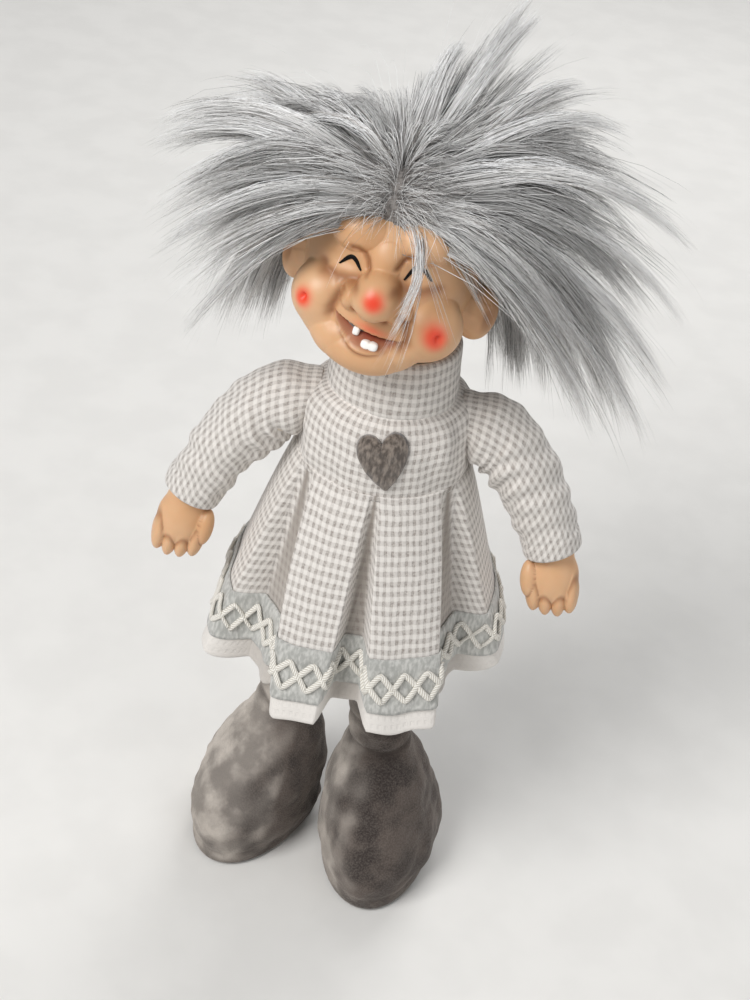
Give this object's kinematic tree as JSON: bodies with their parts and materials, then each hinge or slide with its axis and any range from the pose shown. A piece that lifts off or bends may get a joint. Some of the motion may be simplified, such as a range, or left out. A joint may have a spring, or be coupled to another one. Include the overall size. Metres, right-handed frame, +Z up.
{
  "type": "standing troll doll",
  "caption": "Standing folk troll girl doll with a vinyl head, wild grey faux-fur hair, checked pleated dress, posable soft limbs and plump plush boots.",
  "frame": {"origin": "on the floor between the feet, straight below the body's axis", "axes": "+Z up, the figure faces -Y, and its own left side is at +X"},
  "size_m": [0.1692, 0.1233, 0.3327],
  "materials": {
    "vinyl": "satin",
    "hair": "satin",
    "check_cloth": "matte",
    "ribbon": "matte",
    "braid": "matte",
    "felt": "matte",
    "plush": "matte",
    "body_cloth": "matte",
    "tie": "satin",
    "sole": "matte",
    "pellets": "matte"
  },
  "bodies": {
    "torso": {"stuffed_torso": "body_cloth", "bodice": "check_cloth", "collar": "check_cloth", "skirt": "check_cloth", "hem_ribbon": "ribbon", "hem_braid": "braid", "heart": "felt"},
    "neck": {"neck_cloth": "body_cloth", "neck_tie": "tie"},
    "head": {"head_shell": "vinyl", "wig_front": "hair", "wig_left": "hair", "wig_back": "hair", "wig_right": "hair"},
    "arm_left": {"sleeve_left": "check_cloth", "stuffed_arm_left": "body_cloth", "wrist_tie_left": "tie"},
    "hand_left": {"hand_left": "vinyl"},
    "leg_left": {"stuffed_leg_left": "plush", "boot_left": "plush", "boot_sole_left": "sole", "boot_weight_left": "pellets"},
    "arm_right": {"sleeve_right": "check_cloth", "stuffed_arm_right": "body_cloth", "wrist_tie_right": "tie"},
    "hand_right": {"hand_right": "vinyl"},
    "leg_right": {"stuffed_leg_right": "plush", "boot_right": "plush", "boot_sole_right": "sole", "boot_weight_right": "pellets"}
  },
  "joints": [
    {"name": "neck_nod", "type": "hinge", "parent": "torso", "child": "neck", "pos_m": [0, 0, 0.2175], "axis": [1, 0, 0], "range_deg": [-8, 8]},
    {"name": "head_turn", "type": "hinge", "parent": "neck", "child": "head", "pos_m": [0, 0, 0.2175], "axis": [0, 0, 1], "range_deg": [-60, 60]},
    {"name": "shoulder_left", "type": "hinge", "parent": "torso", "child": "arm_left", "pos_m": [0.039, 0, 0.208], "axis": [-1, 0, 0], "range_deg": [-30, 60]},
    {"name": "wrist_left", "type": "hinge", "parent": "arm_left", "child": "hand_left", "pos_m": [0.0635, -0.008, 0.165], "axis": [0.4887, -0.1596, -0.8577], "range_deg": [-90, 90]},
    {"name": "hip_left", "type": "hinge", "parent": "torso", "child": "leg_left", "pos_m": [0.0135, 0, 0.15], "axis": [-1, 0, 0], "range_deg": [-10, 15]},
    {"name": "shoulder_right", "type": "hinge", "parent": "torso", "child": "arm_right", "pos_m": [-0.039, 0, 0.208], "axis": [-1, 0, 0], "range_deg": [-30, 60]},
    {"name": "wrist_right", "type": "hinge", "parent": "arm_right", "child": "hand_right", "pos_m": [-0.0635, -0.008, 0.165], "axis": [-0.4887, -0.1596, -0.8577], "range_deg": [-90, 90]},
    {"name": "hip_right", "type": "hinge", "parent": "torso", "child": "leg_right", "pos_m": [-0.0135, 0, 0.15], "axis": [-1, 0, 0], "range_deg": [-10, 15]}
  ]
}
